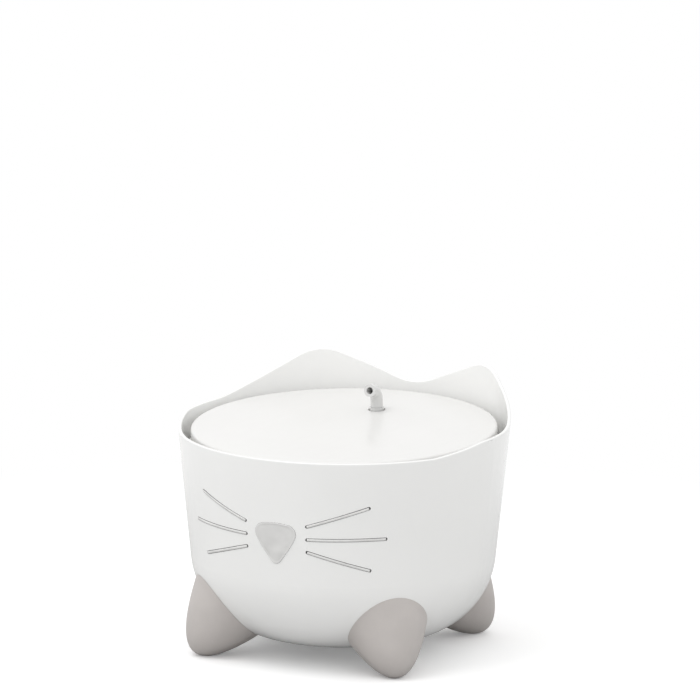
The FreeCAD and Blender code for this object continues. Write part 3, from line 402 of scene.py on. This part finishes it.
# %% Small finishes
def metal(name, colour, pitch, roughness, stretch, depth=0.00003):
    """Metal with fine lines from how it was worked."""
    board = Board(name)
    lines = spots(board, pitch, 2.0, 0.6, stretch)
    stain = step(board, spots(board, 0.004, 3.0), 0.45, 0.75)
    tone = blend(board, lines, shade(colour, 0.82), shade(colour, 1.10))
    tone = blend(board, stain * 0.25, tone, shade(colour, 0.70))
    board.set(
        Base_Color=tone,
        Roughness=roughness + 0.15 * lines,
        Normal=bumped(board, lines, depth),
    )
    board.shader.inputs["Metallic"].default_value = 1.0
    return board.material


def soft(name, colour, roughness=0.55, grain=0.0006):
    """Rubber with fine pores and a faint bloom."""
    board = Board(name)
    pores = spots(board, grain, 3.0, 0.6)
    bloom = step(board, spots(board, 0.0050, 3.0), 0.4, 0.7)
    tone = blend(board, bloom, shade(colour, 0.92), shade(colour, 1.12))
    board.set(Base_Color=tone, Roughness=roughness + 0.15 * pores, Normal=bumped(board, pores, 0.00005))
    return board.material


def lamp(name, colour):
    """Red lens lit from behind, brightest in the middle of its noise."""
    board = Board(name)
    glow = step(board, spots(board, 0.0024, 2.0), 0.25, 0.80)
    hot = blend(board, glow, shade(colour, 0.55), (1.0, 0.16, 0.10, 1.0))
    board.set(Base_Color=shade(colour, 1.0), Roughness=0.18 + 0.1 * glow, Emission_Color=hot,
              Normal=bumped(board, glow, 0.00006))
    board.shader.inputs["Emission Strength"].default_value = 0.55
    return board.material


finishes.update({
    "stainless": metal("screw_stainless", (0.62, 0.62, 0.64), 0.0009, 0.28, (1, 1, 0.2)),
    "core_steel": metal("core_laminated", (0.30, 0.30, 0.32), 0.0005, 0.42, (0.15, 0.15, 1)),
    "winding": metal("coil_wound_copper", (0.72, 0.34, 0.18), 0.0004, 0.30, (1, 1, 0.1), 0.00008),
    "ceramic": soft("shaft_ceramic", (0.82, 0.81, 0.79), 0.20, 0.0012),
    "seal_rubber": soft("seal_dark_rubber", (0.035, 0.035, 0.037)),
    "lead_jacket": soft("lead_pale_jacket", (0.66, 0.65, 0.64), 0.38),
    "lamp_red": lamp("lamp_red_lens", (0.70, 0.035, 0.025)),
})
print("finishes:", len(finishes))

# %% Grain finish
def grains_finish(name, dark, light, roughness=0.6):
    """Grains whose tone is drawn grain by grain, from the tone attribute."""
    board = Board(name)
    tone = board.node("ShaderNodeAttribute", {"attribute_name": "tone"}, output=2)
    pits = spots(board, 0.0005, 3.0, 0.65)
    colour = blend(board, tone, (*dark, 1.0), (*light, 1.0))
    colour = blend(board, step(board, pits, 0.45, 0.75) * 0.35, colour, (*dark, 1.0))
    board.set(Base_Color=colour, Roughness=roughness + 0.15 * pits, Normal=bumped(board, pits, 0.00012))
    return board.material


finishes["carbon"] = grains_finish("carbon_grains_grey", (0.56, 0.61, 0.595), (0.92, 0.95, 0.935))
finishes["resin"] = grains_finish("resin_grains_peach", (0.93, 0.71, 0.54), (0.99, 0.89, 0.79), 0.40)

# %% Give each carried-over piece its finish
slot_of = {part["node"]: part["material_slot"] for part in frame["record"]["subparts"]}
for name, node in nodes.items():
    for slot in node.material_slots:
        slot.material = finishes[slot_of[name]]
lead.data.materials.append(finishes["lead_jacket"])
print("finished nodes:", len(slot_of))

# %% [markdown]
# ## Geometry Nodes, built in the script
# A tree is a recipe: the same few steps for every grain or whisker. Building it in
# the script keeps its sizes as named inputs, and a fixed seed gives the same grains each run.

# %% Geometry Nodes helper
class Recipe:
    """A Geometry Nodes tree with named inputs."""

    def __init__(self, name, **sizes):
        self.tree = bpy.data.node_groups.new(name, "GeometryNodeTree")
        face = self.tree.interface
        face.new_socket("Geometry", in_out="INPUT", socket_type="NodeSocketGeometry")
        face.new_socket("Geometry", in_out="OUTPUT", socket_type="NodeSocketGeometry")
        self.keys = {}
        for label, value in sizes.items():
            kind = "NodeSocketInt" if isinstance(value, int) else "NodeSocketFloat"
            self.keys[label] = face.new_socket(label, in_out="INPUT", socket_type=kind).identifier
        self.sizes = sizes
        self.start = self.tree.nodes.new("NodeGroupInput")
        self.end = self.tree.nodes.new("NodeGroupOutput")

    def size(self, label):
        return self.start.outputs[label]

    def node(self, kind, settings=None, sockets=None):
        """Add a node; a socket's value is a plain value or another node's output."""
        made = self.tree.nodes.new(kind)
        for name, value in (settings or {}).items():
            setattr(made, name, value)
        for name, value in (sockets or {}).items():
            if isinstance(value, bpy.types.NodeSocket):
                self.tree.links.new(value, made.inputs[name])
            else:
                made.inputs[name].default_value = value
        return made

    def close(self, geometry, material):
        """Realize the instances, set the finish and send the result out."""
        whole = self.node("GeometryNodeRealizeInstances", {}, {0: geometry})
        coated = self.node("GeometryNodeSetMaterial", {}, {0: whole.outputs[0], "Material": material})
        self.tree.links.new(coated.outputs[0], self.end.inputs[0])

    def grow(self, name, mesh):
        """Plain mesh object that the recipe makes from a starting mesh."""
        seed_object = bpy.data.objects.new(name + "_start", mesh)
        bpy.context.scene.collection.objects.link(seed_object)
        modifier = seed_object.modifiers.new("recipe", "NODES")
        modifier.node_group = self.tree
        for label, value in self.sizes.items():
            modifier[self.keys[label]] = value
        seen = seed_object.evaluated_get(bpy.context.evaluated_depsgraph_get())
        result = bpy.data.meshes.new_from_object(seen)
        seed_object.modifiers.remove(modifier)
        bpy.data.objects.remove(seed_object)
        made = bpy.data.objects.new(name, result)
        bpy.context.scene.collection.objects.link(made)
        result.calc_loop_triangles()
        print(name + ":", len(result.loop_triangles), "triangles")
        return made


def merged_copy(node):
    """Copy of a node's mesh with its loose triangles joined."""
    work = bmesh.new()
    work.from_mesh(nodes[node].data)
    bmesh.ops.remove_doubles(work, verts=work.verts, dist=1e-5)
    mesh = bpy.data.meshes.new(node + "_merged")
    work.to_mesh(mesh)
    work.free()
    return mesh


# %% [markdown]
# ## The filter's grains
# Grey carbon fills one half of the cartridge and peach resin the other. Only the outer
# grains show through the film, so they are scattered over the skin of each filling,
# pulled in by a grain's radius, and the filling itself stays underneath as a dark bed.

# %% Grains
GRAIN_RADIUS = 0.00078
GRAINS_PER_SQUARE_METRE = 430000.0
GRAIN_SUNK = -1.15          # how far the skin is pulled in, in grain radii
GRAIN_SMALLEST, GRAIN_LARGEST = 0.72, 1.1
GRAIN_SPIN = 6.28           # largest turn about each axis, in radians
SCATTER_SEED, TONE_SEED = 7, 3


def grain_recipe(material):
    """Grains scattered over the skin of a filling, over the filling itself."""
    recipe = Recipe("grain_bed", Radius=GRAIN_RADIUS, Density=GRAINS_PER_SQUARE_METRE, Seed=SCATTER_SEED)
    normal = recipe.node("GeometryNodeInputNormal")
    inward = recipe.node("ShaderNodeVectorMath", {"operation": "SCALE"}, {0: normal.outputs[0]})
    sunk = recipe.node("ShaderNodeMath", {"operation": "MULTIPLY"}, {0: recipe.size("Radius"), 1: GRAIN_SUNK})
    recipe.tree.links.new(sunk.outputs[0], inward.inputs["Scale"])
    skin = recipe.node("GeometryNodeSetPosition", {},
                       {0: recipe.start.outputs[0], "Offset": inward.outputs[0]})
    spread = recipe.node("GeometryNodeDistributePointsOnFaces", {"distribute_method": "RANDOM"},
                         {0: skin.outputs[0], "Density": recipe.size("Density"),
                          "Seed": recipe.size("Seed")})
    ball = recipe.node("GeometryNodeMeshIcoSphere", {}, {"Radius": recipe.size("Radius"), "Subdivisions": 1})
    turn = recipe.node("FunctionNodeRandomValue", {"data_type": "FLOAT_VECTOR"},
                       {0: (0, 0, 0), 1: (GRAIN_SPIN,) * 3, "Seed": recipe.size("Seed")})
    large = recipe.node("FunctionNodeRandomValue", {"data_type": "FLOAT_VECTOR"},
                        {0: (GRAIN_SMALLEST,) * 3, 1: (GRAIN_LARGEST,) * 3,
                         "Seed": recipe.size("Seed")})
    grains = recipe.node("GeometryNodeInstanceOnPoints", {},
                         {"Points": spread.outputs["Points"], "Instance": ball.outputs["Mesh"],
                          "Rotation": turn.outputs[0], "Scale": large.outputs[0]})
    tone = recipe.node("FunctionNodeRandomValue", {"data_type": "FLOAT"}, {2: 0.0, 3: 1.0, "Seed": TONE_SEED})
    toned = recipe.node("GeometryNodeStoreNamedAttribute", {"data_type": "FLOAT", "domain": "INSTANCE"},
                        {"Geometry": grains.outputs[0], "Name": "tone", "Value": tone.outputs[1]})
    both = recipe.node("GeometryNodeJoinGeometry", {}, {0: skin.outputs[0]})
    recipe.tree.links.new(toned.outputs[0], both.inputs[0])
    recipe.close(both.outputs[0], material)
    return recipe


for piece, node, slot in (("carbon_bed", "carbon_grains", "carbon"), ("resin_bed", "resin_grains", "resin")):
    bed = grain_recipe(finishes[slot]).grow(piece, merged_copy(node))
    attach(bed, "filter")
    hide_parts(node)

# %% [markdown]
# ## The nose and the whiskers
# Both are clear inserts pushed out through openings in the bowl's wall. They stand only half a millimetre
# proud, so what the eye reads is the dark line where an insert dips under the wall. Each insert is therefore
# made rounder than its opening, and every point gets an edge value from its height over the wall, by which
# the clear finish paints that dark line in as painted shade.

# %% The bowl's wall
WALL_FOOT_RADIUS = 109.69   # millimetres, where the round bottom becomes the sloping wall
WALL_FOOT_HEIGHT = 67.04
WALL_LEAN = math.radians(5.7)


def wall(height):
    """Outer radius of the bowl's sloping wall at a height, all in millimetres."""
    return WALL_FOOT_RADIUS + (height - WALL_FOOT_HEIGHT) * math.tan(WALL_LEAN)


def mark_edge_shade(mesh, low=0.0, high=0.34):
    """Write the edge shade attribute: 1 where a point lies at the wall, 0 where it stands proud; the clear
    finish paints shade by it.
    """
    # this attribute is the mask of painted shade at the inserts' edges
    edge_shade = mesh.attributes.new("edge_shade", "FLOAT", "POINT")
    for index, vertex in enumerate(mesh.vertices):
        proud = vertex.co.to_2d().length / MM - wall(vertex.co.z / MM)
        share = min(1.0, max(0.0, (proud - low) / (high - low)))
        edge_shade.data[index].value = 1 - share * share * (3 - 2 * share)


print("wall at the nose:", round(wall(97), 2), "mm")

# %% [markdown]
# The six whiskers are one recipe run along six paths: a mesh of plain edges goes in, a
# round bar comes out. A bar sunk half its width shows a slim dome with a groove each side.

# %% Whiskers
WHISKER_START = 12.2        # degrees round the bowl from the middle of the face
WHISKER_ROWS = ((112.3, 126.5, 34.2), (102.6, 103.4, 40.6), (93.3, 80.4, 35.0))
WHISKER_SUNK = 0.68


def whisker_path(side, near_height, far_height, far_angle, steps=16):
    """Points in metres along one whisker, on the wall's curve."""
    first = toward(side * WHISKER_START, 0) * wall(near_height) + Vector((0, 0, near_height))
    last = toward(side * far_angle, 0) * wall(far_height) + Vector((0, 0, far_height))
    out = toward(side * (WHISKER_START + far_angle) / 2, 0)
    last += out * (first - last).dot(out)
    path = []
    for index in range(steps + 1):
        spot = first.lerp(last, index / steps)
        reach = wall(spot.z) - WHISKER_SUNK
        along = spot.to_2d().dot(out.to_2d())
        to_wall = math.sqrt(along ** 2 - spot.to_2d().length_squared + reach ** 2) - along
        path.append((spot + out * to_wall) * MM)
    return path


def paths_mesh(paths):
    """Mesh of edges only, one chain for each path."""
    mesh = bpy.data.meshes.new("paths")
    points, chains = [], []
    for path in paths:
        chains += [(len(points) + index, len(points) + index + 1) for index in range(len(path) - 1)]
        points += path
    mesh.from_pydata(points, chains, [])
    return mesh


bars = Recipe("whisker_bars", Radius=0.0012, Sides=20)
line = bars.node("GeometryNodeMeshToCurve", {}, {0: bars.start.outputs[0]})
ring = bars.node("GeometryNodeCurvePrimitiveCircle", {},
                 {"Resolution": bars.size("Sides"), "Radius": bars.size("Radius")})
swept = bars.node("GeometryNodeCurveToMesh", {},
                  {"Curve": line.outputs[0], "Profile Curve": ring.outputs[0], "Fill Caps": True})
smooth = bars.node("GeometryNodeSetShadeSmooth", {}, {0: swept.outputs[0]})
bars.close(smooth.outputs[0], finishes["clear_window"])
whisker_paths = [whisker_path(side, *row) for side in (-1, 1) for row in WHISKER_ROWS]
whisker_bars = bars.grow("whisker_bars", paths_mesh(whisker_paths))
# the whiskers' edges get painted shade from this attribute
mark_edge_shade(whisker_bars.data)
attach(whisker_bars, "bowl")
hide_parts("whisker_windows")

# %% [markdown]
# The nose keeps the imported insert's own outline. Its rim points are read from the node,
# put in order round the middle, and pulled in ring by ring over a rounded rim, a shallow
# groove and a soft dome, which is how such an insert catches light in a thin bright line.

# %% Nose
NOSE_MIDDLE = 98.0          # height of the nose's middle, in millimetres
NOSE_REACH = 15.0           # about how far the outline is from the middle
NOSE_FRONT = 0.4            # only points further than this out of the wall are the front's
NOSE_RINGS = (              # how far in from the outline, how far proud of the wall
    (0.0, -2.3), (0.0, 0.0), (0.12, 0.32), (0.40, 0.50), (0.9, 0.52), (1.3, 0.40),
    (1.8, 0.36), (2.6, 0.46), (4.5, 0.62), (7.5, 0.78), (11.0, 0.88),
)


def nose_outline():
    """Outline of the insert as (across, height) in millimetres, in order round its middle."""
    found = set()
    for vertex in nodes["nose_window"].data.vertices:
        across_mm, height = vertex.co.x / MM, vertex.co.z / MM
        if vertex.co.to_2d().length / MM > wall(height) + NOSE_FRONT:
            found.add((round(across_mm, 2), round(height, 2)))
    found = sorted(found)
    return [found[index] for index in convex_hull_2d(found)]


def evenly(outline, count=96):
    """Points at equal steps of length round a closed outline."""
    closed = [Vector(spot) for spot in outline] + [Vector(outline[0])]
    lengths = [0.0]
    for before, after in zip(closed, closed[1:]):
        lengths.append(lengths[-1] + (after - before).length)
    spots_found = []
    leg = 0
    for index in range(count):
        goal = lengths[-1] * index / count
        while lengths[leg + 1] < goal:
            leg += 1
        share = (goal - lengths[leg]) / max(lengths[leg + 1] - lengths[leg], 1e-9)
        spots_found.append(closed[leg].lerp(closed[leg + 1], share))
    return spots_found


outline = evenly(nose_outline())
middle = Vector((0, NOSE_MIDDLE))
work = bmesh.new()
rings = []
for inward, proud in NOSE_RINGS:
    ring_points = []
    for spot in outline:
        away = spot - middle
        placed = middle + away * max(0.0, 1 - inward / NOSE_REACH)
        depth = wall(placed.y) + proud
        front = -math.sqrt(depth ** 2 - placed.x ** 2)
        ring_points.append(work.verts.new(Vector((placed.x, front, placed.y)) * MM))
    rings.append(ring_points)
for outer, inner in zip(rings, rings[1:]):
    for index in range(len(outer)):
        after = (index + 1) % len(outer)
        work.faces.new((outer[index], outer[after], inner[after], inner[index]))
work.faces.new(rings[-1])
work.faces.new(list(reversed(rings[0])))
bmesh.ops.recalc_face_normals(work, faces=work.faces)
for face in work.faces:
    face.smooth = True
nose_mesh = bpy.data.meshes.new("nose_insert")
work.to_mesh(nose_mesh)
work.free()
nose_mesh.materials.append(finishes["clear_window"])
# the nose's edge gets painted shade from this attribute
mark_edge_shade(nose_mesh)
nose = bpy.data.objects.new("nose_insert", nose_mesh)
bpy.context.scene.collection.objects.link(nose)
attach(nose, "bowl")
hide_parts("nose_window")
print("nose:", len(outline), "points round,", len(NOSE_RINGS), "rings")

# %% [markdown]
# ## The stage
# The photograph has a plain white ground with one soft shadow. The floor is an ordinary
# pale surface near the object, so it takes the shadow, and fades to plain white further
# out, where only the camera and reflections see it.

# %% Floor and surroundings
FLOOR_RADIUS = 4.0
FADE_FROM, FADE_TO = 0.30, 0.62     # where the floor turns to plain white
FLOOR_BOUNCE = (0.58, 0.58, 0.58, 1)    # what the object is lit by from below
FLOOR_SEEN = (0.97, 0.97, 0.97, 1)      # what the camera sees
FLOOR_GLOW = (0.17, 0.17, 0.17, 1)      # added for the camera, so the open floor is white


def floor_finish():
    """Pale floor that takes a shadow near the object and is plain white far from it."""
    board = Board("floor_pale")
    coords = board.node("ShaderNodeTexCoord", output=3)
    far = board.node("ShaderNodeVectorMath", {"operation": "LENGTH"}, {0: coords}, output=1)
    fade = step(board, far, FADE_FROM, FADE_TO)
    rays = board.node("ShaderNodeLightPath")
    seen = board.maths("MAXIMUM", rays, Signal(board, rays.socket.node.outputs["Is Glossy Ray"]))
    seen = board.maths("MAXIMUM", seen, Signal(board, rays.socket.node.outputs["Is Transmission Ray"]))
    near = blend(board, rays, FLOOR_BOUNCE, FLOOR_SEEN)
    board.set(Base_Color=near, Roughness=0.7 + 0.1 * spots(board, 0.01),
              Emission_Color=blend(board, rays, (0, 0, 0, 1), FLOOR_GLOW))
    board.shader.inputs["Emission Strength"].default_value = 1.0
    white = board.node("ShaderNodeEmission", {}, {"Color": (1, 1, 1, 1), "Strength": 1.0})
    mixed = board.tree.nodes.new("ShaderNodeMixShader")
    board.put(mixed.inputs[0], fade * seen)
    board.tree.links.new(board.shader.outputs[0], mixed.inputs[1])
    board.put(mixed.inputs[2], white)
    board.tree.links.new(mixed.outputs[0], board.output.inputs["Surface"])
    return board.material


work = bmesh.new()
bmesh.ops.create_circle(work, cap_ends=True, segments=64, radius=FLOOR_RADIUS)
floor_mesh = bpy.data.meshes.new("floor")
work.to_mesh(floor_mesh)
work.free()
floor = bpy.data.objects.new("floor", floor_mesh)
floor_mesh.materials.append(floor_finish())
bpy.context.scene.collection.objects.link(floor)

world = bpy.data.worlds.new("studio")
bpy.context.scene.world = world
world.use_nodes = True
AMBIENT = 0.95
tree = world.node_tree
background = tree.nodes["Background"]
plain = tree.nodes.new("ShaderNodeBackground")
plain.inputs["Strength"].default_value = 1.0
plain.inputs["Color"].default_value = (1, 1, 1, 1)
background.inputs["Color"].default_value = (1, 1, 1, 1)
background.inputs["Strength"].default_value = AMBIENT
rays = tree.nodes.new("ShaderNodeLightPath")
either = tree.nodes.new("ShaderNodeMath")
either.operation = "MAXIMUM"
tree.links.new(rays.outputs["Is Camera Ray"], either.inputs[0])
tree.links.new(rays.outputs["Is Transmission Ray"], either.inputs[1])
chosen = tree.nodes.new("ShaderNodeMixShader")
tree.links.new(either.outputs[0], chosen.inputs[0])
tree.links.new(background.outputs[0], chosen.inputs[1])
tree.links.new(plain.outputs[0], chosen.inputs[2])
tree.links.new(chosen.outputs[0], tree.nodes["World Output"].inputs["Surface"])
print("stage: floor and surroundings at", AMBIENT)

# %% [markdown]
# ## Lights
# A broad lamp high on the left in front gives the soft shadow to the right, as in the
# photograph, and a weaker one opposite keeps the shaded side open.

# %% Lamps
def lamp_panel(name, azimuth, elevation, distance, size, power):
    """Square soft light that faces the object."""
    light = bpy.data.lights.new(name, "AREA")
    light.size = size
    light.energy = power
    made = bpy.data.objects.new(name, light)
    middle = Vector((0, 0, 0.15))
    made.location = middle + toward(azimuth, elevation) * distance
    made.rotation_euler = (middle - made.location).to_track_quat("-Z", "Y").to_euler()
    bpy.context.scene.collection.objects.link(made)
    return made


lamp_panel("key", VIEW_AZIMUTH - 62, 62, 1.8, 0.9, 7.5)
lamp_panel("fill", VIEW_AZIMUTH + 62, 24, 2.2, 1.6, 0.8)
bpy.context.scene.view_settings.view_transform = "Standard"
print("lamps: key and fill")
